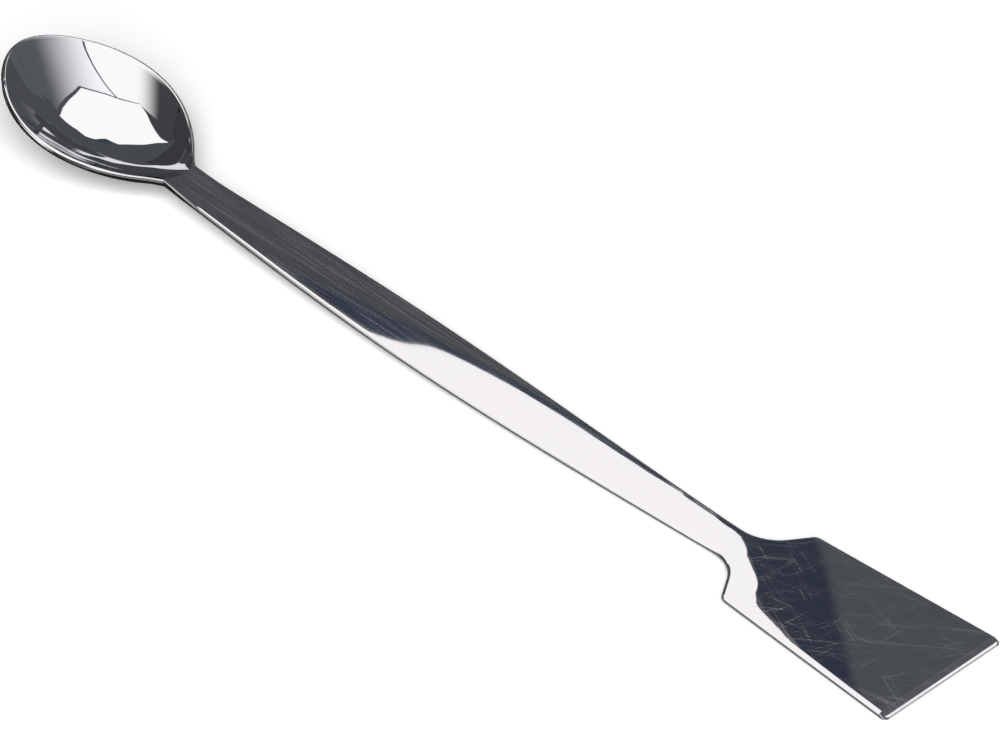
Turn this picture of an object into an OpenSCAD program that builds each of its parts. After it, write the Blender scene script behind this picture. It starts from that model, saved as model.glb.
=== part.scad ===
// Double-ended laboratory spatula: a deep oval spoon, a slim crowned handle and
// a flat blade, pressed and ground from one bar of stainless steel.
// The whole part is one loft. Stations run along +X from the tip of the spoon
// to the end of the blade, and each station is a closed section: the top
// surface, a rounded edge, the underside and the other rounded edge.
// All sizes are millimetres. Lying on a bench (z = 0), the part rests on the
// belly of the spoon and on the end of the blade.

/* [Overall] */
// Length from the tip of the spoon to the end of the blade
total_l = 210; // [170:1:260]

/* [Spoon] */
// Length of the hollow from the tip to the crease at the neck
bowl_l = 40; // [32:0.5:50]
// Width of the hollow between its rims, at its widest
bowl_w = 26; // [20:0.2:32]
// Depth of the hollow below the plane of its rim
bowl_depth = 6.2; // [4:0.1:8]
// Egg shape, with the broad end at the tip; 0 is an even oval
bowl_egg = 0.044; // [0:0.002:0.08]
// Fullness of the oval beyond an ellipse; 0 is an ellipse
bowl_full = 0.06; // [0:0.005:0.08]
// Upward tilt of the rim from the neck to the tip, in degrees
bowl_tilt = 11.4; // [4:0.1:13]
// How far the crease at the neck bows towards the handle
crease_bow = 0.7; // [0:0.05:1.5]

/* [Neck] */
// Width of the handle where it leaves the spoon
neck_w = 7; // [5:0.1:9]
// Length over which the sides of the spoon and the handle flow together
neck_blend = 2.9; // [1:0.1:5]
// Height of the handle above the plane of the rim, at the crease
neck_step = 0.75; // [0:0.05:1.2]

/* [Handle] */
// Width of the handle at its widest
handle_w = 11.1; // [9:0.1:13]
// Distance of the widest place from the tip of the spoon
handle_peak = 99; // [85:1:115]
// Height of the crown across the top of the handle
handle_crown = 0.2; // [0:0.05:0.4]
// Steepness where it leaves the spoon; 1.5 is an even curve down to the blade
handle_bow = 1.8; // [1:0.05:2.2]

/* [Blade] */
// Length of the blade, with its shoulders
blade_l = 39; // [32:0.1:50]
// Width of the shank that carries the blade
shank_w = 6.5; // [5:0.1:8]
// Width of the blade at its shoulders
blade_root_w = 20.7; // [16:0.1:23]
// Width of the blade at its end
blade_end_w = 25.1; // [18:0.1:30]
// Length of the sloping shoulders
shoulder_l = 4.2; // [3:0.1:7]
// Radius of the hollow fillet between the shank and a shoulder
shoulder_fillet = 7.6; // [1:0.1:8]
// Radius on the outer corner of each shoulder
shoulder_round = 1.5; // [0.5:0.1:2.5]
// Radius on the two corners at the end of the blade
corner_round = 1.1; // [0.2:0.1:2]
// Length of the bevel ground along the end of the blade
bevel_l = 0.8; // [0.4:0.1:2]
// Thickness left at the end, under the bevel
bevel_t = 0.5; // [0.3:0.05:0.8]
// Height of the heel of the blade above the bench, with its end touching
heel_rise = 0.35; // [0:0.05:0.6]
// Upward slope with which the handle runs into the heel, in degrees
heel_pitch = 0.7; // [0:0.05:1]

/* [Metal] */
// Thickness of the spoon
bowl_t = 1.1; // [0.8:0.05:1.4]
// Thickness of the handle at the neck, under its crown
handle_t = 1.3; // [1.1:0.05:2]
// Thickness of the shank, just before the blade
shank_t = 1.05; // [0.9:0.05:1.5]
// Thickness of the blade
blade_t = 0.95; // [0.8:0.05:1.2]
// How far the rounded edge of the spoon stands out beyond its hollow
rim_round = 0.35; // [0.15:0.05:0.5]
// How far the rounded edge of the handle and blade stands out beyond their top
side_round = 0.65; // [0.3:0.05:0.9]

/* [Hidden] */

// Mesh density: stations along each stretch, strips across, steps round an edge
TIP_STATIONS = 20;
BOWL_STATIONS = 20;
HANDLE_STATIONS = 34;
ARC_STATIONS = 5;
BLADE_STATIONS = 5;
STRIPS = 20;
EDGE_STEPS = 6;

// ---- helpers ----------------------------------------------------------------
function mix(a, b, u) = a + (b - a) * u;
function clamp01(u) = max(0, min(1, u));
// smooth step from 0 to 1
function ease(u) = let (c = clamp01(u)) c * c * (3 - 2 * c);
function unit(v) = v / norm(v);
// the larger of two values, with a soft change-over k wide
function soft_max(a, b, k) =
    let (near = max(k - abs(a - b), 0) / k) max(a, b) + near * near * k / 4;
// cubic from a to b, with the rise that each end would give over the whole span
function hermite(a, b, rise_a, rise_b, u) =
    a * (2 * u ^ 3 - 3 * u ^ 2 + 1) + rise_a * (u ^ 3 - 2 * u ^ 2 + u)
    + b * (3 * u ^ 2 - 2 * u ^ 3) + rise_b * (u ^ 3 - u ^ 2);
// a corner c between p and q, with both of its sides moved in by d
function shift_corner(p, c, q, d) =
    let (u = unit(p - c), v = unit(q - c)) c + unit(u + v) * d / sin(acos(u * v) / 2);
// the same corner rounded to radius r, as a list of points from p to q
function round_corner(p, c, q, r) =
    let (u = unit(p - c), v = unit(q - c), half = acos(u * v) / 2)
    let (centre = c + unit(u + v) * r / sin(half), reach = r / tan(half))
    let (from = c + u * reach - centre, to = c + v * reach - centre)
    let (turn = acos(unit(from) * unit(to)) * (cross(from, to) > 0 ? 1 : -1))
    [for (i = [0:ARC_STATIONS]) let (a = turn * i / ARC_STATIONS) centre
        + [from[0] * cos(a) - from[1] * sin(a), from[0] * sin(a) + from[1] * cos(a)]];

// ---- outline of the top surface, as stations of [x, half width] -------------
// The rounded edge stands out beyond the top surface. So at the tip the hollow
// starts behind x = 0, by the slant of the wall there and the round of its edge.
rim_slope = tan(bowl_tilt);
tip_wall = atan(4 * bowl_depth / bowl_l + rim_slope);
tip_slant = bowl_t / 2 * sin(tip_wall);
tip_x = tip_slant + norm([tip_slant, rim_round * cos(tip_wall)]);
crease_x = tip_x + bowl_l;
middle_x = tip_x + bowl_l / 2;
shank_x = total_l - blade_l;
top_end_x = total_l - side_round;

// the rim's fine edge widens to the handle's just behind the crease
EDGE_AHEAD = 1;
EDGE_RUN = 6;
function edge_round(x) =
    mix(rim_round, side_round, ease((x - crease_x + EDGE_AHEAD) / EDGE_RUN));

// oval of the hollow, at an angle of 0 at the tip and 180 at the crease
function oval(a) = sin(a) + bowl_egg * sin(2 * a) - bowl_full * sin(3 * a);
oval_peak = max([for (a = [60:1:120]) oval(a)]);
function bowl_half(x) =
    bowl_w / 2 * oval(acos(1 - 2 * clamp01((x - tip_x) / bowl_l))) / oval_peak;

// the handle swells to its widest place, then tapers to the shank
NECK_FLARE = 1.3;
SHANK_TAPER = 1.0;
neck_half = neck_w / 2;
peak_half = handle_w / 2;
shank_half = shank_w / 2;
function handle_side(x) =
    x < crease_x ? neck_half
    : x < handle_peak
    ? hermite(neck_half, peak_half, NECK_FLARE * (peak_half - neck_half), 0,
              (x - crease_x) / (handle_peak - crease_x))
    : hermite(peak_half, shank_half, 0, SHANK_TAPER * (shank_half - peak_half),
              (x - handle_peak) / (shank_x - handle_peak));
function handle_half(x) = handle_side(x) - edge_round(x);
function body_half(x) =
    x < middle_x ? bowl_half(x) : soft_max(bowl_half(x), handle_half(x), neck_blend);

// corners of the blade, drawn full size and then moved in by the edge's round
shank_at = [shank_x, shank_half];
shoulder_at = [shank_x + shoulder_l, blade_root_w / 2];
end_at = [total_l, blade_end_w / 2];
shank_in = [shank_x, handle_half(shank_x)];
shoulder_in = shift_corner(shank_at, shoulder_at, end_at, side_round);
end_in = shift_corner(shoulder_at, end_at, [total_l, 0], side_round);
taper_in = [shank_x - 10, handle_half(shank_x - 10)];
SHARPEST = 0.05;
end_r = max(corner_round - side_round, SHARPEST);
fillet_arc = round_corner(taper_in, shank_in, shoulder_in, shoulder_fillet);
shoulder_arc = round_corner(shank_in, shoulder_in, end_in,
                            max(shoulder_round - side_round, SHARPEST));
end_arc = round_corner(shoulder_in, end_in, [top_end_x, 0], end_r);
end_rim = round_corner(shoulder_at, end_at, [total_l, 0], corner_round);

// the bevel starts where its length puts it, on the straight side of the blade
// or within the rounded corner
bevel_x = top_end_x - bevel_l;
corner_from = end_arc[0];
function corner_half(x) =
    x < corner_from[0]
    ? mix(shoulder_in[1], end_in[1], (x - shoulder_in[0]) / (end_in[0] - shoulder_in[0]))
    : end_arc[ARC_STATIONS][1] + sqrt(max(end_r ^ 2 - (x - top_end_x + end_r) ^ 2, 0));
bevel_at = [bevel_x, corner_half(bevel_x)];
side_end = corner_from[0] < bevel_x ? corner_from : bevel_at;
APART = 0.02;

// a station is [x, half width]; one at the end's corner adds its way out to the rim
function body_station(x) = [x, body_half(x)];
corner = [for (i = [0:ARC_STATIONS]) concat(end_arc[i], end_rim[i] - end_arc[i])];
stations = concat(
    [for (i = [0:TIP_STATIONS - 1])
        body_station(tip_x + bowl_l / 2 * (1 - cos(90 * i / TIP_STATIONS)))],
    [for (i = [0:BOWL_STATIONS]) body_station(mix(middle_x, crease_x, i / BOWL_STATIONS))],
    [for (i = [1:HANDLE_STATIONS])
        body_station(mix(crease_x, fillet_arc[0][0], i / (HANDLE_STATIONS + 1)))],
    fillet_arc,
    shoulder_arc,
    [for (i = [1:BLADE_STATIONS])
        mix(shoulder_arc[ARC_STATIONS], side_end, i / BLADE_STATIONS)],
    [for (p = corner) if (p[0] > side_end[0] && p[0] < bevel_x - APART) p],
    side_end == bevel_at ? [] : [bevel_at],
    [for (p = corner) if (p[0] > bevel_x + APART) p]);
LAST = len(stations) - 1;

// ---- heights along the middle line ------------------------------------------
// The hollow is a parabola along and across. Tilted with its rim, it is lowest
// a little behind its middle, and the rim is set so that this belly meets the
// bench at z = 0.
tilt_rise = rim_slope * bowl_l;
rim_tip_z = bowl_t + bowl_depth + tilt_rise / 2 + tilt_rise ^ 2 / (16 * bowl_depth);
function rim_z(x) = rim_tip_z - rim_slope * (x - tip_x);

// the underside of the handle sweeps down from the neck to the heel of the
// blade, never below the bench, and the blade slopes down to its end
neck_under = max(rim_z(crease_x) + neck_step - handle_t, 0);
handle_run = shank_x - crease_x;
function along(x) = (x - crease_x) / handle_run;
function under_z(x) =
    x < crease_x ? neck_under * (1 - handle_bow * along(x))
    : x > shank_x ? heel_rise * (total_l - x) / blade_l
    : max(hermite(neck_under, heel_rise, -handle_bow * neck_under,
                  tan(heel_pitch) * handle_run, along(x)), 0);

// thickness: the spoon, thickening to the neck, thinning evenly to the shank
// and thinned again across the shoulders to the blade
NECK_THICKENING = 10;
function metal_t(x) =
    x < crease_x ? mix(bowl_t, handle_t, ease(1 - (crease_x - x) / NECK_THICKENING))
    : x < shank_x ? mix(handle_t, shank_t, along(x))
    : mix(shank_t, blade_t, ease((x - shank_x) / (2 * shoulder_l)));
RIM_TO_HANDLE = 2;
function middle_z(x) =
    x < middle_x ? rim_z(x) : soft_max(rim_z(x), under_z(x) + metal_t(x), RIM_TO_HANDLE);

// ---- the sheet: top surface and metal below it -------------------------------
function hollow_along(x) = 1 - (2 * (x - tip_x) / bowl_l - 1) ^ 2;
function hollow(x, v) = bowl_depth * max(0, hollow_along(x)) * (1 - v * v);
CROWN_IN = 8;
function crown(x, v) =
    handle_crown * ease((x - crease_x) / CROWN_IN) * ease((shank_x - x) / CROWN_IN) * v * v;
function bevel(x) = (blade_t - bevel_t) * clamp01((x - bevel_x) / bevel_l);
// the stations bow towards the handle next to the crease
BOW_REACH = 8;
function bow(x, v) = crease_bow * ease(1 - abs(x - crease_x) / BOW_REACH) * (1 - v * v);

function top_point(s, v) =
    let (x = s[0])
    [x + bow(x, v), s[1] * v, middle_z(x) - hollow(x, v) - crown(x, v) - bevel(x)];
function strip(j) = 2 * j / STRIPS - 1;
top = [for (s = stations) [for (j = [0:STRIPS]) top_point(s, strip(j))]];

// the crease is filled out below, so that the underside runs smoothly past it
CREASE_FILL = 0.15;
function metal(x, v) =
    metal_t(x) - crown(x, v) - bevel(x) + (x < middle_x ? 0
    : bowl_depth * (1 - v * v)
      * (soft_max(0, hollow_along(x), CREASE_FILL) - max(0, hollow_along(x))));

// square to the sheet in the spoon, straight down along the handle and blade
function sheet_normal(i, j) =
    i == 0 ? unit(cross(top[1][STRIPS / 2] - top[0][0], top[1][STRIPS] - top[1][0]))
    : unit(cross(top[min(i + 1, LAST)][j] - top[i - 1][j],
                 top[i][min(j + 1, STRIPS)] - top[i][max(j - 1, 0)]));
function sheet_way(i, j) =
    let (down = ease((stations[i][0] - middle_x) / (crease_x - middle_x)))
    unit(mix(sheet_normal(i, j), [0, 0, 1], down));
under = [for (i = [0:LAST]) [for (j = [0:STRIPS])
    top[i][j] - metal(stations[i][0], strip(j)) * sheet_way(i, j)]];

// ---- the rounded edge, all the way round --------------------------------------
// the ring of edge places [station, strip], from the tip along one side to the
// end of the blade, across it, and back along the other side
ring = concat([[0, 0]],
    [for (i = [1:LAST]) [i, STRIPS]],
    [for (j = [STRIPS - 1:-1:0]) [LAST, j]],
    [for (i = [LAST - 1:-1:1]) [i, 0]]);
RING = len(ring);
function ring_top(k) = let (p = ring[(k + RING) % RING]) top[p[0]][p[1]];
function at_side(p) = p[1] == 0 || p[1] == STRIPS;
function outward(k) =
    let (p = ring[k], s = stations[p[0]])
    len(s) > 2 && at_side(p) ? [s[2], s[3] * sign(p[1] - 1), 0]
    : unit(cross(ring_top(k - 1) - ring_top(k + 1), sheet_way(p[0], p[1])))
      * edge_round(s[0]);
function edge_point(k, step) =
    let (p = ring[k], a = 180 * step / EDGE_STEPS)
    let (high = top[p[0]][p[1]], low = under[p[0]][p[1]])
    (high + low) / 2 + (high - low) / 2 * cos(a) + outward(k) * sin(a);

// ---- the loft: points numbered top sheet, underside, then edge steps ----------
SHEET = 1 + LAST * (STRIPS + 1);
function flat_sheet(rows) = concat([rows[0][0]], [for (i = [1:LAST]) each rows[i]]);
function sheet_index(i, j) = i == 0 ? 0 : 1 + (i - 1) * (STRIPS + 1) + j;
function edge_index(k, step) =
    let (p = ring[k % RING])
    step == 0 ? sheet_index(p[0], p[1])
    : step == EDGE_STEPS ? SHEET + sheet_index(p[0], p[1])
    : 2 * SHEET + (k % RING) * (EDGE_STEPS - 1) + step - 1;
points = concat(flat_sheet(top), flat_sheet(under),
    [for (k = [0:RING - 1]) for (step = [1:EDGE_STEPS - 1]) edge_point(k, step)]);

// two triangles of one quad; the diagonal mirrors about the middle line
function two_triangles(a, b, c, d, flip) =
    flip ? [[a, b, c], [a, c, d]] : [[a, b, d], [b, c, d]];
top_faces = concat(
    [for (j = [0:STRIPS - 1]) [0, sheet_index(1, j + 1), sheet_index(1, j)]],
    [for (i = [1:LAST - 1]) for (j = [0:STRIPS - 1])
        each two_triangles(sheet_index(i, j), sheet_index(i, j + 1),
            sheet_index(i + 1, j + 1), sheet_index(i + 1, j), j < STRIPS / 2)]);
under_faces = [for (f = top_faces) [SHEET + f[0], SHEET + f[2], SHEET + f[1]]];
edge_faces = [for (k = [0:RING - 1]) for (step = [0:EDGE_STEPS - 1])
    each two_triangles(edge_index(k, step), edge_index(k, step + 1),
        edge_index(k + 1, step + 1), edge_index(k + 1, step), k < RING / 2)];

module spatula() {
    color([0.42, 0.43, 0.45])
        translate([-total_l / 2, 0, 0])
            polyhedron(points, concat(top_faces, under_faces, edge_faces));
}

spatula();
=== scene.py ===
# %% [markdown]
# # A double-ended laboratory spatula in polished steel
# The real tool is one bar of stainless steel. One end is pressed to a deep oval
# spoon, the other is flattened to a blade, and the whole is polished. The CAD
# part already has the true sizes. Here the same form is made again as a finer,
# smoother sheet, because a mirror finish shows every facet of a coarse mesh.

import math

import bpy
import numpy as np
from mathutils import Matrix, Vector


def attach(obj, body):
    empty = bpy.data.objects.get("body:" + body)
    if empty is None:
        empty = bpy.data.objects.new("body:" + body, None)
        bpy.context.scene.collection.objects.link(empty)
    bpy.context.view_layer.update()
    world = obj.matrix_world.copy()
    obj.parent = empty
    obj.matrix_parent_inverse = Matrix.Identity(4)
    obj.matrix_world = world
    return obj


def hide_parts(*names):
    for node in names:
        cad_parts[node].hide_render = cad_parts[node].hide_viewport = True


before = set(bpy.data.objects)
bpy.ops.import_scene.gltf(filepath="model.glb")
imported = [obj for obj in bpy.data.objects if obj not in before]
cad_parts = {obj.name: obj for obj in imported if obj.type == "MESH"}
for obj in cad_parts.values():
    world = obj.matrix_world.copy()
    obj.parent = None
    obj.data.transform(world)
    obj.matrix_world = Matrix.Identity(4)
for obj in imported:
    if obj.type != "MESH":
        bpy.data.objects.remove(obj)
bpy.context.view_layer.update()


# %% [markdown]
# ## The sizes
# All of them are millimetres and match the CAD part, so that the finished piece
# fills the same box. They are kept in one cell, as on a workshop drawing. The
# spoon is a hair narrower here, because its finer oval fills the box out more.

# %% Sizes of the spoon, handle and blade
TOTAL = 210.0
BOWL_L, BOWL_W, BOWL_DEPTH = 40.0, 25.96, 6.2
BOWL_EGG, BOWL_FULL, BOWL_TILT = 0.044, 0.06, 11.4
CREASE_BOW = 0.7
NECK_W, NECK_BLEND, NECK_STEP = 7.0, 2.9, 0.75
HANDLE_W, HANDLE_PEAK, HANDLE_CROWN, HANDLE_BOW = 11.1, 99.0, 0.2, 1.8
BLADE_L, SHANK_W, ROOT_W, END_W = 39.0, 6.5, 20.7, 25.1
SHOULDER_L, SHOULDER_FILLET, SHOULDER_ROUND = 4.2, 7.6, 1.5
CORNER_ROUND, BEVEL_L, BEVEL_T = 1.1, 0.8, 0.5
HEEL_RISE, HEEL_PITCH = 0.35, 0.7
BOWL_T, HANDLE_T, SHANK_T, BLADE_T = 1.1, 1.3, 1.05, 0.95
RIM_ROUND, SIDE_ROUND = 0.35, 0.65
print("length, mm:", TOTAL, "spoon:", BOWL_L, "x", BOWL_W, "blade:", BLADE_L, "x", END_W)


# %% Small helpers for smooth shapes
def mix(a, b, u):
    """From a to b in a straight line, as u goes from 0 to 1."""
    return a + (b - a) * u


def ease(u):
    """From 0 to 1 with a soft start and end."""
    u = np.clip(u, 0, 1)
    return u * u * (3 - 2 * u)


def hermite(a, b, rise_a, rise_b, u):
    """A curve from a to b with a given rise at each end."""
    return (a * (2 * u**3 - 3 * u**2 + 1) + rise_a * (u**3 - 2 * u**2 + u)
            + b * (3 * u**2 - 2 * u**3) + rise_b * (u**3 - u**2))


def soft_max(a, b, k):
    """The larger of two values, blended where they are less than k apart."""
    near = np.maximum(k - np.abs(a - b), 0) / k
    return np.maximum(a, b) + near * near * k / 4


print("a quarter of the way, straight and eased:", mix(0, 1, 0.25), float(ease(0.25)))


# %% [markdown]
# ## The outline
# Seen from above, the outline is an egg-shaped oval, a neck, a slim handle that
# swells and tapers, and a blade with sloping shoulders. It is described as a
# half width for each distance along the tool. The rounded edge stands out
# beyond this line by its own radius, so every width is less twice that radius.

# %% Half width along the spoon and handle
EDGE_AHEAD, EDGE_RUN = 1, 6
NECK_FLARE = 1.3

rim_slope = math.tan(math.radians(BOWL_TILT))
tip_wall = math.atan(4 * BOWL_DEPTH / BOWL_L + rim_slope)
tip_slant = BOWL_T / 2 * math.sin(tip_wall)
tip_x = tip_slant + math.hypot(tip_slant, RIM_ROUND * math.cos(tip_wall))
crease_x = tip_x + BOWL_L
middle_x = tip_x + BOWL_L / 2
shank_x = TOTAL - BLADE_L
top_end_x = TOTAL - SIDE_ROUND
neck_half, peak_half, shank_half = NECK_W / 2, HANDLE_W / 2, SHANK_W / 2


def edge_round(x):
    """The rim's fine edge widens to the handle's just behind the crease."""
    return mix(RIM_ROUND, SIDE_ROUND, ease((x - crease_x + EDGE_AHEAD) / EDGE_RUN))


def oval(a):
    """An egg's half width: a circle's sine, with a share of sin 2a for the egg and sin 3a for fullness."""
    return np.sin(a) + BOWL_EGG * np.sin(2 * a) - BOWL_FULL * np.sin(3 * a)


# the oval is widest somewhere between 60 and 120 degrees
oval_peak = oval(np.radians(np.arange(60, 121))).max()


def bowl_half(x):
    """Half width of the hollow at its rim."""
    a = np.arccos(1 - 2 * np.clip((x - tip_x) / BOWL_L, 0, 1))
    return BOWL_W / 2 * oval(a) / oval_peak


def handle_side(x):
    """Half width of the handle at its side: it swells from the neck, then tapers to the shank."""
    rear = hermite(neck_half, peak_half, NECK_FLARE * (peak_half - neck_half), 0,
                   (x - crease_x) / (HANDLE_PEAK - crease_x))
    fore = hermite(peak_half, shank_half, 0, shank_half - peak_half,
                   (x - HANDLE_PEAK) / (shank_x - HANDLE_PEAK))
    return np.where(x < crease_x, neck_half, np.where(x < HANDLE_PEAK, rear, fore))


def handle_half(x):
    """Half width of the handle's upper face, inside the rounded edge."""
    return handle_side(x) - edge_round(x)


def body_half(x):
    """The spoon's outline, which flows into the handle's at the neck."""
    return np.where(x < middle_x, bowl_half(x), soft_max(bowl_half(x), handle_half(x), NECK_BLEND))


print("handle beside the neck, at its widest and at the blade, mm:",
      [round(2 * float(handle_side(x)), 2) for x in (crease_x, HANDLE_PEAK, shank_x)])


# %% Corners of the blade, rounded as arcs
def unit2(v):
    """One vector of length 1."""
    return v / np.linalg.norm(v)


def inset_corner(p, c, q, d):
    """The corner c between p and q, moved inwards until it is d from both sides."""
    u, v = unit2(p - c), unit2(q - c)
    return c + unit2(u + v) * d / math.sin(math.acos(u @ v) / 2)


def arc_corner(p, c, q, r, steps):
    """The corner c between p and q rounded to radius r, as points from p to q."""
    u, v = unit2(p - c), unit2(q - c)
    half = math.acos(u @ v) / 2
    centre = c + unit2(u + v) * r / math.sin(half)
    a, b = c + u * r / math.tan(half) - centre, c + v * r / math.tan(half) - centre
    turn = math.acos(unit2(a) @ unit2(b)) * (1 if a[0] * b[1] - a[1] * b[0] > 0 else -1)
    t = turn * np.arange(steps + 1) / steps
    return centre + np.stack([a[0] * np.cos(t) - a[1] * np.sin(t),
                              a[0] * np.sin(t) + a[1] * np.cos(t)], 1)


FILLET_STEPS, SHOULDER_STEPS, END_STEPS = 16, 10, 12
TAPER_LOOK = 10  # how far back the taper's direction is taken, mm

shank_at = np.array([shank_x, SHANK_W / 2])
shoulder_at = np.array([shank_x + SHOULDER_L, ROOT_W / 2])
end_at = np.array([TOTAL, END_W / 2])
shank_in = np.array([shank_x, float(handle_half(shank_x))])
shoulder_in = inset_corner(shank_at, shoulder_at, end_at, SIDE_ROUND)
end_in = inset_corner(shoulder_at, end_at, np.array([TOTAL, 0.0]), SIDE_ROUND)
taper_in = np.array([shank_x - TAPER_LOOK, float(handle_half(shank_x - TAPER_LOOK))])
fillet_arc = arc_corner(taper_in, shank_in, shoulder_in, SHOULDER_FILLET, FILLET_STEPS)
shoulder_arc = arc_corner(shank_in, shoulder_in, end_in, SHOULDER_ROUND - SIDE_ROUND, SHOULDER_STEPS)
end_r = CORNER_ROUND - SIDE_ROUND
end_arc = arc_corner(shoulder_in, end_in, np.array([top_end_x, 0.0]), end_r, END_STEPS)
print("blade widths at its shoulders and its end, mm:", ROOT_W, END_W)


# %% [markdown]
# ## The rows of the sheet
# A pressed sheet is easiest to shape as a grid: rows across the tool and strips
# along it. The rows lie close together where the form turns sharply, which is
# the crease at the neck, the shoulders and the ground end. Round the front of
# the spoon the rows bend with the rim, so that the mesh has no pinched point.

# %% Rows over the spoon and the handle
FRONT, STRIPS, ROUND = 44, 56, 12
# steps over the rest of the spoon, the handle, the shoulders' slope and the blade
BACK_N, HANDLE_N, SLOPE_N, BLADE_N = 45, 124, 6, 37

front = np.linspace(-1, 0, FRONT + 1)[:-1]
spoon_back = mix(middle_x, crease_x, np.linspace(0, 1, BACK_N))[:-2]
crease_rows = crease_x + np.array([-0.6, -0.3, -0.12, 0, 0.12, 0.3, 0.6])
handle_rows = np.linspace(crease_x + 1.2, fillet_arc[0][0], HANDLE_N)[:-1]
plain_rows = np.concatenate([spoon_back, crease_rows, handle_rows])
body_rows = np.stack([plain_rows, body_half(plain_rows)], 1)
print("rows from the middle of the spoon to the end of the handle:", len(body_rows))

# %% Rows over the blade, with three close together where the bevel starts
# mm between those three, the least step near the end, and the space before the bevel
CRISP, APART, BEFORE_BEVEL = 0.005, 0.003, 0.17
bevel_x = top_end_x - BEVEL_L


def end_half(x):
    """Half width of the blade near its end, with the rounded corner."""
    side = mix(shoulder_in[1], end_in[1], (x - shoulder_in[0]) / (end_in[0] - shoulder_in[0]))
    beyond = np.maximum(x - top_end_x + end_r, 0)
    round_part = end_arc[-1][1] + np.sqrt(np.maximum(end_r**2 - beyond**2, 0))
    return np.where(x < end_arc[0][0], side, round_part)


slope_rows = mix(fillet_arc[-1], shoulder_arc[0], np.linspace(0, 1, SLOPE_N)[1:-1, None])
blade_x = np.linspace(shoulder_arc[-1][0], min(end_arc[0][0], bevel_x) - BEFORE_BEVEL, BLADE_N)[1:]
bevel_start = bevel_x + np.array([-CRISP, 0, CRISP])
on_bevel = top_end_x - np.array([0.5, 0.3])
end_x = np.unique(np.concatenate([end_arc[:, 0], bevel_start, on_bevel]).round(4))
end_x = end_x[np.concatenate([[True], np.diff(end_x) > APART])]
end_x[-1] = top_end_x
blade_x = np.concatenate([blade_x, end_x])
blade_rows = np.stack([blade_x, end_half(blade_x)], 1)
rows = np.concatenate([body_rows, fillet_arc, slope_rows, shoulder_arc, blade_rows])
ROWS = FRONT + len(rows) - 1
print("rows", ROWS + 1, "strips", STRIPS, "shortest step, mm", round(float(np.diff(rows[:, 0]).min()), 3))


# %% [markdown]
# ## The blank
# Like the real tool, the piece starts as a flat blank. A grid is added, its
# faces are extruded once to give the thickness, and the narrow wall all round
# is cut into rings, which become the rounded edge.
# In the blank, x counts the rows from 0 to 1, y the strips from -1 to 1, and
# z is 0 on the upper face and -1 on the lower one.

# %% Add the flat blank and give it its thickness
bpy.ops.object.select_all(action="DESELECT")
bpy.ops.mesh.primitive_grid_add(x_subdivisions=ROWS, y_subdivisions=STRIPS, size=2)
spatula = bpy.context.object
spatula.name = spatula.data.name = "spatula_steel"
bpy.ops.object.mode_set(mode="EDIT")
bpy.ops.transform.resize(value=(0.5, 1, 1))
bpy.ops.transform.translate(value=(0.5, 0, 0))
bpy.ops.mesh.extrude_region_move(TRANSFORM_OT_translate={"value": (0, 0, -1)})
bpy.ops.object.mode_set(mode="OBJECT")
print("blank:", len(spatula.data.vertices), "points,", len(spatula.data.polygons), "faces")

# %% Cut the wall of the blank into rings
blank = spatula.data
bpy.ops.object.mode_set(mode="EDIT")
bpy.ops.mesh.select_mode(type="EDGE")
bpy.ops.mesh.select_all(action="DESELECT")
bpy.ops.object.mode_set(mode="OBJECT")
# the wall's edges run down from the upper face to the lower one
for e in blank.edges:
    a, b = (blank.vertices[i].co for i in e.vertices)
    e.select = abs(a.z - b.z) > 0.5
bpy.ops.object.mode_set(mode="EDIT")
bpy.ops.mesh.subdivide_edgering(number_cuts=ROUND - 1, interpolation="LINEAR")
bpy.ops.mesh.select_all(action="SELECT")
bpy.ops.mesh.normals_make_consistent(inside=False)
bpy.ops.object.mode_set(mode="OBJECT")
print("with rings:", len(blank.vertices), "points,", len(blank.polygons), "faces")


# %% [markdown]
# ## Heights and thickness
# The tool lies on the belly of the spoon and on the end of its blade. The spoon
# is a shallow dish, tilted so that its tip is high. The handle sweeps down from
# the neck, and the sheet is thickest there and thinnest in the blade.

# %% Height of the middle line and thickness of the metal
NECK_THICKENING, RIM_TO_HANDLE, CROWN_IN = 10, 2, 8

tilt_rise = rim_slope * BOWL_L
rim_tip_z = BOWL_T + BOWL_DEPTH + tilt_rise / 2 + tilt_rise**2 / (16 * BOWL_DEPTH)
handle_run = shank_x - crease_x


def rim_z(x):
    """Height of the rim, which lies in one tilted plane."""
    return rim_tip_z - rim_slope * (x - tip_x)


neck_under = rim_z(crease_x) + NECK_STEP - HANDLE_T


def under_z(x):
    """Height of the underside: a sweep down from the neck, then the blade's slight slope."""
    u = (x - crease_x) / handle_run
    handle = hermite(neck_under, HEEL_RISE, -HANDLE_BOW * neck_under,
                     math.tan(math.radians(HEEL_PITCH)) * handle_run, u)
    return np.where(x < crease_x, neck_under * (1 - HANDLE_BOW * u),
                    np.where(x > shank_x, HEEL_RISE * (TOTAL - x) / BLADE_L, np.maximum(handle, 0)))


def metal_t(x):
    """Thickness of the metal along the tool."""
    spoon = mix(BOWL_T, HANDLE_T, ease(1 - (crease_x - x) / NECK_THICKENING))
    handle = mix(HANDLE_T, SHANK_T, (x - crease_x) / handle_run)
    blade = mix(SHANK_T, BLADE_T, ease((x - shank_x) / (2 * SHOULDER_L)))
    return np.where(x < crease_x, spoon, np.where(x < shank_x, handle, blade))


def middle_z(x):
    """Height of the upper face before the hollow is pressed into it."""
    return np.where(x < middle_x, rim_z(x), soft_max(rim_z(x), under_z(x) + metal_t(x), RIM_TO_HANDLE))


def dish(x):
    """Share of the hollow's depth along the middle of the spoon."""
    return 1 - (2 * (x - tip_x) / BOWL_L - 1) ** 2


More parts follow.
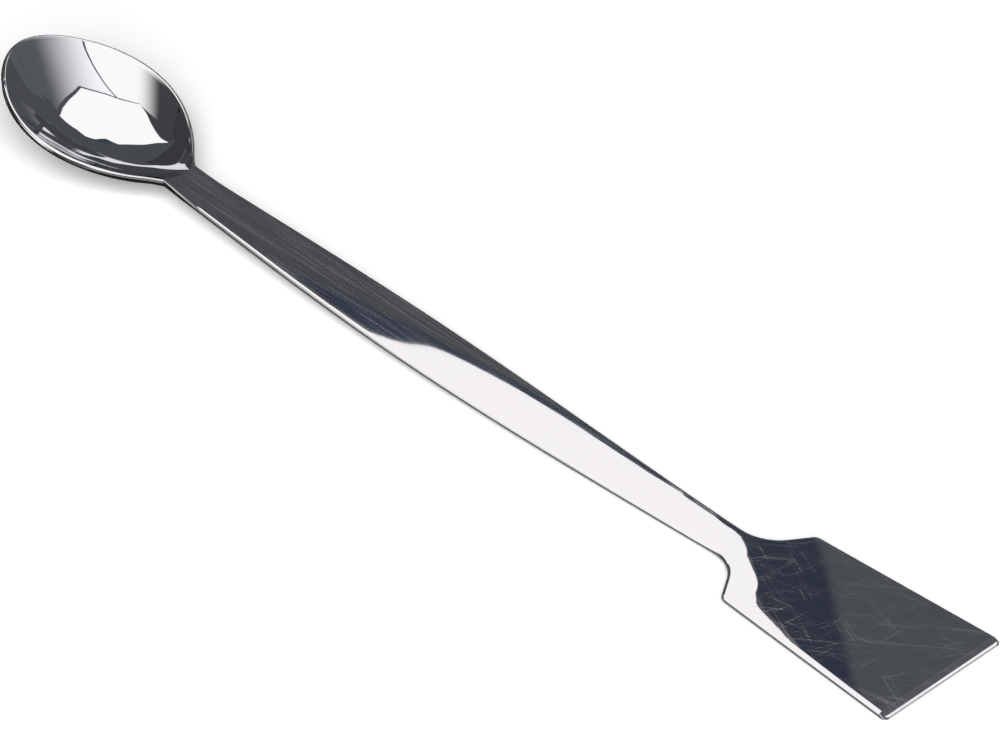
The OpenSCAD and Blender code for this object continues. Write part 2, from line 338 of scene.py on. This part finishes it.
def crown(x, v):
    """How far the handle falls away from its middle line towards its sides."""
    return HANDLE_CROWN * ease((x - crease_x) / CROWN_IN) * ease((shank_x - x) / CROWN_IN) * v * v


def bevel(x):
    """How much is ground off the upper face at the end of the blade."""
    return (BLADE_T - BEVEL_T) * np.clip((x - bevel_x) / BEVEL_L, 0, 1)


print("tip of the rim, crease and heel, mm:", round(rim_tip_z, 2),
      round(float(rim_z(crease_x)), 2), HEEL_RISE)


# %% Place of each grid point on the upper face
BOW_REACH = 8  # how far from the crease the rows still bow, mm


def upper(i, j):
    """Upper face at row i and strip j, as (place, distance along, share of the half width)."""
    t = 2 * j / STRIPS - 1
    s = front[np.minimum(i, FRONT - 1)]
    along = s * np.sqrt(1 - t * t / 2)
    # at the very tip every strip meets the rim
    share = t * np.sqrt(1 - s * s / 2) / np.sqrt(np.maximum(1 - along * along, 1e-12))
    share = np.where(along < -0.999999, 1.0, share)
    row = rows[np.maximum(i - FRONT, 0)]
    in_front = i < FRONT
    x = np.where(in_front, middle_x + BOWL_L / 2 * along, row[..., 0])
    v = np.where(in_front, share, t)
    half = np.where(in_front, bowl_half(x), row[..., 1])
    z = middle_z(x) - BOWL_DEPTH * np.maximum(dish(x), 0) * (1 - v * v) - crown(x, v) - bevel(x)
    lean = CREASE_BOW * ease(1 - np.abs(x - crease_x) / BOW_REACH) * (1 - v * v)
    return np.stack([x + lean, half * v, z], -1), x, v


grid_i, grid_j = np.meshgrid(np.arange(ROWS + 1), np.arange(STRIPS + 1), indexing="ij")
top, along_x, share_v = upper(grid_i, grid_j)
print("upper face, mm:", top.reshape(-1, 3).min(0).round(2), top.reshape(-1, 3).max(0).round(2))


# %% [markdown]
# ## Pressing the blank
# A press moves each point of the flat blank to its place in the finished form.
# The lower face lies below the upper one by the thickness of the metal: square
# to the sheet in the spoon, straight down along the handle and the blade. The
# rings between them follow half an ellipse, which is the rounded edge.

# %% Direction square to the sheet
def unit(v):
    """Vectors of length 1, by their last axis."""
    return v / np.maximum(np.linalg.norm(v, axis=-1, keepdims=True), 1e-12)


CREASE_FILL = 0.15  # fills the underside out below the crease

square = unit(np.cross(np.gradient(top, axis=0), np.gradient(top, axis=1)))
for j in (0, STRIPS):
    inner = 1 if j == 0 else STRIPS - 1
    square[0, j] = unit(square[0, inner] + square[1, j])
down = ease((along_x - middle_x) / (crease_x - middle_x))[..., None]
way = unit(mix(square, np.array([0.0, 0.0, 1.0]), down))
fill = BOWL_DEPTH * (1 - share_v**2) * (soft_max(0, dish(along_x), CREASE_FILL)
                                        - np.maximum(dish(along_x), 0))
thick = metal_t(along_x) - crown(along_x, share_v) - bevel(along_x)
thick = thick + np.where(along_x < middle_x, 0, fill)
low = top - thick[..., None] * way
print("lower face, mm:", low.reshape(-1, 3).min(0).round(2), low.reshape(-1, 3).max(0).round(2))

# %% The rounded edge, ring by ring
ring = ([(i, STRIPS) for i in range(ROWS)] + [(ROWS, j) for j in range(STRIPS, 0, -1)]
        + [(i, 0) for i in range(ROWS, 0, -1)] + [(0, j) for j in range(STRIPS)])
ring_i, ring_j = np.array(ring).T
rim_top, rim_low, rim_way = top[ring_i, ring_j], low[ring_i, ring_j], way[ring_i, ring_j]
tangent = np.roll(rim_top, 1, axis=0) - np.roll(rim_top, -1, axis=0)
outward = unit(np.cross(tangent, rim_way)) * edge_round(along_x[ring_i, ring_j])[:, None]
place_of = {corner: k for k, corner in enumerate(ring)}
print("places round the edge:", len(ring))


def on_edge(k, depth):
    """Places on the rounded edge, at ring places k and depths from 0 at the top to 1 below."""
    a = np.pi * depth[:, None]
    return ((rim_top[k] + rim_low[k]) / 2 + (rim_top[k] - rim_low[k]) / 2 * np.cos(a)
            + outward[k] * np.sin(a))


# %% Press the blank to shape
flat = np.empty(len(blank.vertices) * 3)
blank.vertices.foreach_get("co", flat)
flat = flat.reshape(-1, 3)
vi = np.rint(flat[:, 0] * ROWS).astype(int)
vj = np.rint((flat[:, 1] + 1) / 2 * STRIPS).astype(int)
depth = -flat[:, 2]
shaped = np.where(depth[:, None] < 0.5, top[vi, vj], low[vi, vj])
edge_points = np.flatnonzero((depth > 0.01) & (depth < 0.99))
places = np.array([place_of[(a, b)] for a, b in zip(vi[edge_points], vj[edge_points])])
shaped[edge_points] = on_edge(places, depth[edge_points])
shaped[:, 0] -= TOTAL / 2
blank.vertices.foreach_set("co", (shaped / 1000).ravel())
blank.update()
print("pressed, mm:", shaped.min(0).round(3), shaped.max(0).round(3))

# %% Smooth the shading, and check the mesh
for p in blank.polygons:
    p.use_smooth = True
bpy.ops.object.mode_set(mode="EDIT")
bpy.ops.mesh.select_all(action="SELECT")
bpy.ops.mesh.normals_make_consistent(inside=False)
bpy.ops.mesh.select_all(action="DESELECT")
bpy.ops.mesh.select_non_manifold()
bpy.ops.object.mode_set(mode="OBJECT")
print("open or doubled edges:", sum(e.select for e in blank.edges))

# %% The piece takes the place of the CAD part
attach(spatula, "root")
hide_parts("spatula")
print("piece:", spatula.name)


# %% [markdown]
# ## Polished steel
# Stainless steel is a slightly cold grey metal, and a polished one is nearly a
# mirror. A buffing wheel leaves fine lines along the handle and the blade, and use
# adds hair-thin scratches to the blade. All of them are too shallow to model. The
# buffing lines tilt the mirror a little, so they are a bump. Scratches and worn
# streaks scatter light from all sides, which looks like a pale film with a dull
# shine, so they are drawn in the coat. Both kinds are noise on Object coordinates,
# which are metres on the tool, so that they keep their size and place.

# %% Start the material
BARE_STEEL, BUFFED_STEEL = (0.70, 0.705, 0.715, 1), (0.665, 0.65, 0.665, 1)
POLISH_ROUGH = 0.03
FILM_ROUGH, FILM_IOR = 0.45, 2.1

steel = bpy.data.materials.new("polished_steel")
steel.use_nodes = True
nodes, links = steel.node_tree.nodes, steel.node_tree.links
shader = nodes["Principled BSDF"]
shader.inputs["Metallic"].default_value = 1.0
shader.inputs["Roughness"].default_value = POLISH_ROUGH
shader.inputs["Coat Roughness"].default_value = FILM_ROUGH
shader.inputs["Coat IOR"].default_value = FILM_IOR
object_place = nodes.new("ShaderNodeTexCoord").outputs["Object"]
spatula.data.materials.append(steel)
print("steel on", len(spatula.data.polygons), "faces")


# %% Helpers for patterns: maths, soft limits and stretched noise
def maths(operation, *values):
    node = nodes.new("ShaderNodeMath")
    node.operation = operation
    for socket, value in zip(node.inputs, values):
        if isinstance(value, (int, float)):
            socket.default_value = value
        else:
            links.new(value, socket)
    return node.outputs[0]


def between(value, low, high):
    """0 below low, 1 above high, smooth in between."""
    node = nodes.new("ShaderNodeMapRange")
    node.interpolation_type = "SMOOTHSTEP"
    node.inputs["From Min"].default_value = low
    node.inputs["From Max"].default_value = high
    links.new(value, node.inputs["Value"])
    return node.outputs["Result"]


def fibres(length, width, turn=0.0, detail=0.0, at=(0.0, 0.0)):
    """Noise drawn out to streaks of a given length and width in mm, turned by degrees."""
    mapping, noise = nodes.new("ShaderNodeMapping"), nodes.new("ShaderNodeTexNoise")
    mapping.vector_type = "TEXTURE"
    mapping.inputs["Location"].default_value = (at[0] / 1000, at[1] / 1000, 0)
    mapping.inputs["Rotation"].default_value = (0, 0, math.radians(turn))
    mapping.inputs["Scale"].default_value = (length / 1000, width / 1000, 0.01)
    noise.inputs["Scale"].default_value = 1.0
    noise.inputs["Detail"].default_value = detail
    links.new(object_place, mapping.inputs["Vector"])
    links.new(mapping.outputs[0], noise.inputs["Vector"])
    return noise.outputs["Fac"]


print("helpers ready, pattern nodes so far:", len(nodes))


# %% Where the patterns start: behind the spoon, and on the blade
FADE_L = 4.0


def object_x(x):
    """A distance from the spoon's tip in mm, as an Object coordinate in metres."""
    return (x - TOTAL / 2) / 1000


parts = nodes.new("ShaderNodeSeparateXYZ")
links.new(object_place, parts.inputs[0])
tool_x = parts.outputs["X"]
beyond_neck = between(tool_x, object_x(crease_x - FADE_L), object_x(crease_x + FADE_L))
on_blade = between(tool_x, object_x(shank_x - FADE_L), object_x(shank_x + 1))
print("patterns start at, mm:", round(crease_x - FADE_L, 1), "and", round(shank_x - FADE_L, 1))

# %% Buffing lines, as a very shallow bump
LINE_DEPTH, BUMP_REACH = 0.0005, 0.001

long_lines = fibres(9, 0.25, turn=1.5, detail=1.0)
short_lines = fibres(2.5, 0.45, turn=-4, detail=1.0, at=(3, 7))
buffing = maths("ADD", long_lines, maths("MULTIPLY", short_lines, 0.3))
lines_height = maths("MULTIPLY", maths("MULTIPLY", buffing, beyond_neck), LINE_DEPTH)
bump = nodes.new("ShaderNodeBump")
bump.inputs["Strength"].default_value = 1.0
bump.inputs["Distance"].default_value = BUMP_REACH
links.new(lines_height, bump.inputs["Height"])
links.new(bump.outputs[0], shader.inputs["Normal"])
print("buffing lines up to", LINE_DEPTH * BUMP_REACH * 1e6, "thousandths of a mm high")

# %% [markdown]
# A scratch is a long thin line. Noise that is drawn out along one direction passes
# its middle value along such lines, so the narrow band round that value is taken. A
# second, wider noise breaks each line off, so that the scratches come and go.

# %% Hair-thin scratches on the blade
LINE_CORE, LINE_EDGE = 0.006, 0.028
SPOT_L, SPOT_W, SPOT_SOFT = 9, 1.6, 0.04
SCRATCH_FILM = 0.8
# length and width of the noise in mm, turn in degrees, share of the blade, place
SCRATCH_SETS = [(60, 0.9, 38, 0.47, (2, 5)), (50, 0.8, -24, 0.44, (7, 1)), (40, 0.7, 82, 0.42, (4, 9)),
                (60, 1.0, 12, 0.45, (9, 3)), (50, 0.8, 62, 0.45, (1, 8))]


def hairlines(length, width, turn, share, at):
    """Thin lines: where streaky noise passes its middle value, and only in some places."""
    off_middle = maths("ABSOLUTE", maths("SUBTRACT", fibres(length, width, turn, 0.0, at), 0.5))
    line = maths("SUBTRACT", 1.0, between(off_middle, LINE_CORE, LINE_EDGE))
    spots = between(fibres(SPOT_L, SPOT_W, turn, 0.0, (at[1], at[0])), 1 - share, 1 + SPOT_SOFT - share)
    return maths("MULTIPLY", line, spots)


scratches = 0.0
for scratch_set in SCRATCH_SETS:
    scratches = maths("ADD", scratches, hairlines(*scratch_set))
blade_film = maths("MULTIPLY", maths("MULTIPLY", scratches, on_blade), SCRATCH_FILM)
print("directions of the scratches, degrees:", [turn for _, _, turn, _, _ in SCRATCH_SETS])

# %% Worn streaks along the handle, and the coat that shows both
STREAK_FILM, STREAKS_LOST_ON_BLADE = 0.6, 0.85

streaks = between(fibres(16, 0.30, turn=1.0, detail=2.0, at=(6, 2)), 0.42, 0.68)
on_handle = maths("SUBTRACT", beyond_neck, maths("MULTIPLY", on_blade, STREAKS_LOST_ON_BLADE))
handle_film = maths("MULTIPLY", maths("MULTIPLY", streaks, STREAK_FILM), on_handle)
links.new(maths("ADD", handle_film, blade_film), shader.inputs["Coat Weight"])
print("film on the handle and on the blade:", STREAK_FILM, SCRATCH_FILM)

# %% The fine lines take a little light from the handle and the blade
tone = nodes.new("ShaderNodeMix")
tone.data_type = "RGBA"
tone.inputs["A"].default_value = BARE_STEEL
tone.inputs["B"].default_value = BUFFED_STEEL
links.new(beyond_neck, tone.inputs["Factor"])
links.new(tone.outputs["Result"], shader.inputs["Base Color"])
print("steel nodes:", len(nodes))


# %% [markdown]
# ## The table and the light
# A mirror finish is drawn by what it reflects. The tool lies on a white table in
# a dim room, under one wide soft lamp. Glowing cards hang over it as in a product
# studio: the metal sees the cards, the dark gaps between them and the dim room
# behind. They are not part of the tool and stay out of the picture. The table and
# the wall are white to the eye, so the picture has a plain pale ground.

# %% A white table
TABLE_SIZE, PAPER_WHITE, PAPER_GLOW = 8, 0.96, 0.16

bpy.ops.object.select_all(action="DESELECT")
bpy.ops.mesh.primitive_plane_add(size=TABLE_SIZE, location=(0, 0, 0))
table = bpy.context.object
table.name = "table_top"
paper = bpy.data.materials.new("white_paper")
paper.use_nodes = True
paper_nodes, paper_links = paper.node_tree.nodes, paper.node_tree.links
paper_shader = paper_nodes["Principled BSDF"]
paper_shader.inputs["Base Color"].default_value = (PAPER_WHITE, PAPER_WHITE, PAPER_WHITE, 1)
paper_shader.inputs["Roughness"].default_value = 1.0
paper_shader.inputs["Specular IOR Level"].default_value = 0.0
paper_shader.inputs["Emission Color"].default_value = (1, 1, 1, 1)
# a little glow, seen by the eye and in the metal, takes the paper to a clean white
rays = paper_nodes.new("ShaderNodeLightPath")
seen, lift = paper_nodes.new("ShaderNodeMath"), paper_nodes.new("ShaderNodeMath")
seen.operation = "MAXIMUM"
lift.operation = "MULTIPLY"
lift.inputs[1].default_value = PAPER_GLOW
paper_links.new(rays.outputs["Is Camera Ray"], seen.inputs[0])
paper_links.new(rays.outputs["Is Glossy Ray"], seen.inputs[1])
paper_links.new(seen.outputs[0], lift.inputs[0])
paper_links.new(lift.outputs[0], paper_shader.inputs["Emission Strength"])
table.data.materials.append(paper)
print("table, m:", [round(v, 1) for v in table.dimensions])

# %% The dim room, with a wall that is white to the eye
ROOM = (0.088, 0.093, 0.100)

world = bpy.data.worlds.new("room")
bpy.context.scene.world = world
world.use_nodes = True
world_nodes, world_links = world.node_tree.nodes, world.node_tree.links
eye, wall = world_nodes.new("ShaderNodeLightPath"), world_nodes.new("ShaderNodeMix")
wall.data_type = "RGBA"
wall.inputs["A"].default_value = (*ROOM, 1)
wall.inputs["B"].default_value = (1, 1, 1, 1)
world_links.new(eye.outputs["Is Camera Ray"], wall.inputs["Factor"])
world_links.new(wall.outputs["Result"], world_nodes["Background"].inputs["Color"])
print("room colour:", ROOM)

# %% The wide lamp, which the metal does not mirror
LAMP_SIZE, LAMP_AWAY, LAMP_TURN, LAMP_CLIMB, LAMP_WATTS = 2.4, 2.2, 46.0, 42.0, 88.0


def seen_from(turn, climb):
    """Direction from the tool towards a lamp or camera, angles in degrees."""
    a, e = math.radians(turn), math.radians(climb)
    return Vector((math.sin(a) * math.cos(e), -math.cos(a) * math.cos(e), math.sin(e)))


lamp_data = bpy.data.lights.new("wide_lamp", "AREA")
lamp_data.shape = "RECTANGLE"
lamp_data.size = lamp_data.size_y = LAMP_SIZE
lamp_data.energy = LAMP_WATTS
lamp = bpy.data.objects.new("wide_lamp", lamp_data)
bpy.context.scene.collection.objects.link(lamp)
to_lamp = seen_from(LAMP_TURN, LAMP_CLIMB)
lamp.location = to_lamp * LAMP_AWAY
lamp.rotation_euler = (-to_lamp).to_track_quat("-Z", "Y").to_euler()
lamp.visible_glossy = False
print("lamp at, m:", [round(v, 2) for v in lamp.location])


# %% [markdown]
# ## Studio cards
# A card is a flat sheet that glows, cut to the outline that its reflection should
# have. Where a tone has to run out softly, the card fades to clear along one
# direction. A dark card in front of a bright one is called a flag in a studio. All
# of them are made by the same few helpers.

# %% A smooth line, and sides for straight-edged cards
def bowed(points, steps=6):
    """A smooth line through a few points, without its last one."""
    p = np.array([points[0], *points, points[-1]], dtype=float)
    line = []
    for a, b, c, d in zip(p, p[1:], p[2:], p[3:]):
        for u in np.arange(steps) / steps:
            line.append((2 * b + (c - a) * u + (2 * a - 5 * b + 4 * c - d) * u**2
                         + (3 * b - a - 3 * c + d) * u**3) / 2)
    return line


def straight(*corners):
    """Straight sides round a card."""
    return [[a, b] for a, b in zip(corners, corners[1:] + corners[:1])]


def box(x1, y1, x2, y2):
    return straight((x1, y1), (x2, y1), (x2, y2), (x1, y2))


print("points on a smooth line of three:", len(bowed([(0, 0), (1, 1), (2, 0)])))


# %% What a card glows with
def glow_material(name, strength, tint, fade):
    """Plain light. fade = (from, to) in mm: full light at from, none at to."""
    glow = bpy.data.materials.new(name)
    glow.use_nodes = True
    n, k = glow.node_tree.nodes, glow.node_tree.links
    n.clear()
    out, emit = n.new("ShaderNodeOutputMaterial"), n.new("ShaderNodeEmission")
    emit.inputs["Color"].default_value = (*tint, 1)
    emit.inputs["Strength"].default_value = strength
    k.new(emit.outputs[0], out.inputs["Surface"])
    if fade:
        start, end = (Vector((*q, 0)) / 1000 for q in fade)
        way = (end - start) / (end - start).length_squared
        place, share = n.new("ShaderNodeNewGeometry"), n.new("ShaderNodeVectorMath")
        share.operation = "DOT_PRODUCT"
        share.inputs[1].default_value = way
        move = n.new("ShaderNodeMapRange")
        move.interpolation_type = "SMOOTHSTEP"
        move.inputs["From Min"].default_value = start @ way
        move.inputs["From Max"].default_value = start @ way + 1
        move.inputs["To Min"].default_value = 1.0
        move.inputs["To Max"].default_value = 0.0
        clear, blend = n.new("ShaderNodeBsdfTransparent"), n.new("ShaderNodeMixShader")
        k.new(place.outputs["Position"], share.inputs[0])
        k.new(share.outputs["Value"], move.inputs["Value"])
        k.new(move.outputs["Result"], blend.inputs[0])
        k.new(clear.outputs[0], blend.inputs[1])
        k.new(emit.outputs[0], blend.inputs[2])
        k.new(blend.outputs[0], out.inputs["Surface"])
    return glow


# tints, and the strengths that show as white and as navy blue in the steel
WHITE, LILAC, NAVY = (1.0, 0.99, 1.0), (0.97, 0.97, 1.0), (0.50, 0.65, 1.0)
SLATE, GREENISH = (0.80, 0.88, 1.0), (0.9, 1.0, 0.95)
BRIGHT, SOFT_BRIGHT, NAVY_GLOW, FAINT = 1.36, 1.34, 0.095, 0.02
print("glow of a white card and a navy card:", BRIGHT, NAVY_GLOW)

# %% Hang a card, a thin bar or an upright screen
hung = []


def hang(name, places, glow):
    """A flat sheet through places in mm, which only reflections see."""
    mesh = bpy.data.meshes.new(name)
    mesh.from_pydata([[v / 1000 for v in place] for place in places], [], [list(range(len(places)))])
    mesh.materials.append(glow)
    sheet = bpy.data.objects.new(name, mesh)
    bpy.context.scene.collection.objects.link(sheet)
    sheet.visible_camera = sheet.visible_diffuse = sheet.visible_shadow = False
    hung.append(sheet)


def card(name, height, sides, strength=1.0, tint=ROOM, fade=None):
    """A level card. Each side is a bowed line, and the next one starts where it ends."""
    outline = [q for side in sides for q in bowed(side)]
    hang(name, [(*q, height) for q in outline], glow_material(name, strength, tint, fade))


def bar(name, points, widths):
    """A thin dark bar of a frame, along a bowed line, tapered between two widths."""
    line = np.array(bowed(points) + [np.array(points[-1], dtype=float)])
    along = np.gradient(line, axis=0)
    half = np.linspace(*widths, len(line)) / 2
    aside = np.stack([-along[:, 1], along[:, 0]], 1) * (half / np.linalg.norm(along, axis=1))[:, None]
    card(name, BAR_Z, straight(*(line + aside), *(line - aside)[::-1]))


def screen(name, first, last, low, high, strength, tint):
    """A card that stands upright on the line between two places."""
    places = [(*first, low), (*last, low), (*last, high), (*first, high)]
    hang(name, places, glow_material(name, strength, tint, None))


print("cards so far:", len(hung))


# %% [markdown]
# ## The cards over the spoon and the handle
# The hollow mirrors the whole room, made small. Its middle shows one big white
# card, the far wall a second card beyond a dark frame line, and the wall by the
# neck a third one, which fades. Each level is a little higher than the one before,
# so that a card hides what hangs behind it. The main card's left side draws the
# line between dark and bright along the handle.

# %% Levels over the table, and the lines that the cards share, in mm
BAR_Z, CARD_Z, SIDE_Z, NAVY_Z, BACK_Z = 248, 250, 252, 253, 255

frame_head = [(-160, 400), (-157, 330), (-149, 299), (-139, 277), (-127, 252), (-117, 230),
              (-108, 209), (-100, 187)]
spoon_frame = [(-100, 187), (-88, 151), (-80, 123), (-73.5, 93), (-68, 62), (-62, 25)]
neck_frame = [(-62, 25), (-72, 5), (-85, -17), (-102, -38), (-126, -57)]
frame_foot = [(-126, -57), (-160, -80), (-194, -99)]
frame_fork = [(-126, -57), (-90, -61), (-50, -77), (-20, -99), (-6, -116)]
card_foot = [(-194, -99), (-233, -90), (-274, -70), (-333, -50), (-400, -34), (-500, -28)]
card_low_side = [(-500, -28), (-396, -8), (-348, 10), (-305, 38), (-268, 65), (-247, 95), (-240, 122)]
card_notch = [(-240, 122), (-226, 132), (-208, 142)]
handle_line = [(-208, 142), (-210, 172), (-221, 215), (-223, 245), (-221, 280), (-216, 320), (-225, 400)]
print("the frame's lines run over x, mm:", frame_head[0][0], "to", frame_fork[-1][0])

# %% The bright cards
card("main_card", CARD_Z,
     [frame_head, spoon_frame, neck_frame, frame_foot, card_foot, card_low_side, card_notch, handle_line,
      [(-225, 400), (-160, 400)]], BRIGHT, WHITE)
card("side_card", SIDE_Z,
     [frame_head, spoon_frame, neck_frame, frame_fork, [(-6, -116), (300, -116)], [(300, -116), (300, 400)],
      [(300, 400), (-160, 400)]], SOFT_BRIGHT, LILAC, fade=((-84, -63), (64, 48)))
card("near_card", SIDE_Z,
     [frame_foot[::-1], frame_fork, [(-6, -116), (300, -116)], [(300, -116), (300, -232)],
      [(300, -232), (-420, -232)], [(-420, -232), (-420, -99)], [(-420, -99), (-194, -99)]],
     BRIGHT, WHITE, fade=((-181, -72), (-312, -124)))
card("rim_card", CARD_Z, box(-400, -700, -190, -235), BRIGHT, WHITE)
print("cards so far:", len(hung))

# %% The dark bars of the frame, and the navy card that the handle mirrors
bar("long_bar", [*frame_head[1:], *spoon_frame[1:]], (12, 5))
bar("neck_bar", neck_frame, (4, 3))
bar("foot_bar", frame_foot, (3.5, 2))
bar("fork_bar", frame_fork, (3.5, 6))
side_line = [(-20, 300), (-34, 324), (-63, 354), (-95, 385), (-123, 404), (-150, 425), (-191, 446)]
bar("side_line", side_line, (5, 8))
card("handle_navy", NAVY_Z, box(-250, 150, -150, 420), NAVY_GLOW, NAVY, fade=((-228, 200), (-246, 200)))
print("cards so far:", len(hung))

# %% The dark backs behind the bright cards
card("side_back", BACK_Z,
     straight((-210, 520), (-210, 402), (-160, 402), (-160, 60), (300, -116), (300, 520)), 1.4)
card("near_back", BACK_Z,
     [[(-190, -95), (-190, -232)], [(-190, -232), (-520, -232)], [(-520, -232), (-520, -40)],
      [(-520, -40), (-400, -30), (-233, -85), (-190, -95)]], 0.75)
print("cards so far:", len(hung))

# %% [markdown]
# The near wall of the hollow mirrors the far one, so it shows every card twice. A
# few small flags close over the spoon cut these second images to thin bands, and
# keep the rim and the neck dark.

# %% Small flags close over the spoon
FLAG_Z, TIP_FLAG_Z = 20, 60

flag_inner = [(-95.25, 13.8), (-95.3, 15), (-95.7, 16), (-96.5, 17), (-97.2, 18), (-98.2, 20),
              (-99.2, 22), (-100.2, 24)]
flag_outer = [(-100.6, 24), (-99.6, 22), (-98.5, 20), (-97.6, 18), (-96.9, 17), (-96.4, 16),
              (-96.2, 15), (-96.2, 13.8)]
flag_far_end, flag_near_end = [(-100.2, 24), (-100.6, 24)], [(-96.2, 13.8), (-95.25, 13.8)]
card("wall_flag", FLAG_Z, [flag_inner, flag_far_end, flag_outer, flag_near_end])
card("rim_flag", FLAG_Z,
     [[(-108, 2.8), (-105, 2.8), (-103.7, 6), (-103.6, 7.5)],
      [(-103.6, 7.5), (-105.2, 7.5), (-106, 5.5), (-108, 4), (-108, 2.8)]])
card("neck_flag", FLAG_Z, box(-76, -7.5, -67.5, 7))
card("tip_flag", TIP_FLAG_Z,
     [[(-104, 68), (-107, 67.5), (-110, 67), (-112, 64.5), (-113, 61)], [(-113, 61), (-122, 61), (-130, 70)],
      *straight((-130, 70), (-130, 105), (-104, 105), (-104, 68))[:-1]])
print("cards so far:", len(hung))

# %% [markdown]
# ## The cards over the blade
# The flat blade shows one small part of the room. White runs along its near side,
# and a dark shade with a navy half covers the rest. The shade hangs low, so that it
# darkens the blade alone, and not the end of the handle beside it. Two more cards
# light the rounded edge at the blade's end.

# %% White cards over the blade, and its low dark shade
BLADE_CARD_Z, SHADE_END = 100, 92.2

card("blade_white", BLADE_CARD_Z,
     [[(-60, 146), (-54, 136), (-31, 107)], [(-31, 107), (-18, 96), (2, 90)], [(2, 90), (60, 82)],
      [(60, 82), (60, -170)], [(60, -170), (-40, -170)], [(-40, -170), (-48, 40)], [(-48, 40), (-60, 85)],
      [(-60, 85), (-60, 146)]], BRIGHT, WHITE)
card("end_card", BLADE_CARD_Z, straight((150, 40), (900, 40), (900, 700), (150, 115)), BRIGHT, WHITE)
card("edge_card", BLADE_CARD_Z, straight((62, 50), (104, 50), (104, 95), (40, 95), (40, 76), (62, 76)),
     BRIGHT, WHITE)
blade_line = [(34, 32), (38.4, 28.7), (45.4, 20.9), (50, 17.2), (54.1, 14.9), (56.8, 13.3), (58.4, 11.5),
              (59.3, 9.9), (60.9, 9.1), (65.6, 8), (71.7, 6.4), (80.5, 4.4), (89.1, 3.3), (SHADE_END, 2.8)]
blade_shade = [blade_line, *straight((SHADE_END, 2.8), (SHADE_END, 50), (34, 50), (34, 32))[:-1]]
card("blade_back", FLAG_Z + 1, blade_shade, 0.118, SLATE)
card("blade_navy", FLAG_Z, blade_shade, 0.07, NAVY, fade=((70.3, 14.7), (71.7, 16.5)))
print("cards so far:", len(hung))

# %% [markdown]
# ## Painted shadow on the table, and screens
# The tool's lower edges mirror the table beside them. A real table is grey there,
# where the tool and the cards keep the light off. Thin grey sheets that glow faintly
# and are seen only in the metal lie on it: they are painted shadow of the table.
# Dark upright screens end the table's bright reflection in the rim of the spoon.

# %% Painted shadow on the table, and screens round it
TABLE_SHADE_Z, SPOON_SHADE_Z = 0.003, 0.004

# painted shadow: a grey sheet, seen only in the metal, stands for the table's shade under and beside the
# tool
card("table_shade_card", TABLE_SHADE_Z, box(-140, -90, 104.5, 70), 0.23, (0.95, 1.0, 0.97))
# painted shadow: a darker sheet, seen only in the metal, stands for the shade under and beside the spoon
card("spoon_shade_card", SPOON_SHADE_Z, box(-420, -420, -62, 60), FAINT, GREENISH)
screen("left_screen", (-560, -700), (-560, -200), 1, 280, FAINT, GREENISH)
screen("back_screen", (-560, -200), (-560, 250), 1, 280, 0.6, ROOM)
screen("near_screen", (-560, -700), (-100, -700), 1, 250, FAINT, GREENISH)
print("cards, bars, flags, mats and screens:", len(hung))


# %% [markdown]
# ## The camera
# A long lens from the side and above, so that the tool lies corner to corner.

# %% Camera
CAMERA_AT = (0.4156446, -0.3833211, 0.4239464)
CAMERA_TURN, CAMERA_CLIMB = 46.45, 36.982
LENS, SENSOR = 162.0, 36.0

camera_data = bpy.data.cameras.new("camera")
camera_data.lens = LENS
camera_data.sensor_width = SENSOR
camera_data.clip_start = 0.01
camera = bpy.data.objects.new("camera", camera_data)
bpy.context.scene.collection.objects.link(camera)
to_camera = seen_from(CAMERA_TURN, CAMERA_CLIMB)
camera.location = CAMERA_AT
camera.rotation_euler = (-to_camera).to_track_quat("-Z", "Y").to_euler()
bpy.context.scene.camera = camera
bpy.context.scene.view_settings.view_transform = "Standard"
print("camera at", [round(v, 4) for v in camera.location])
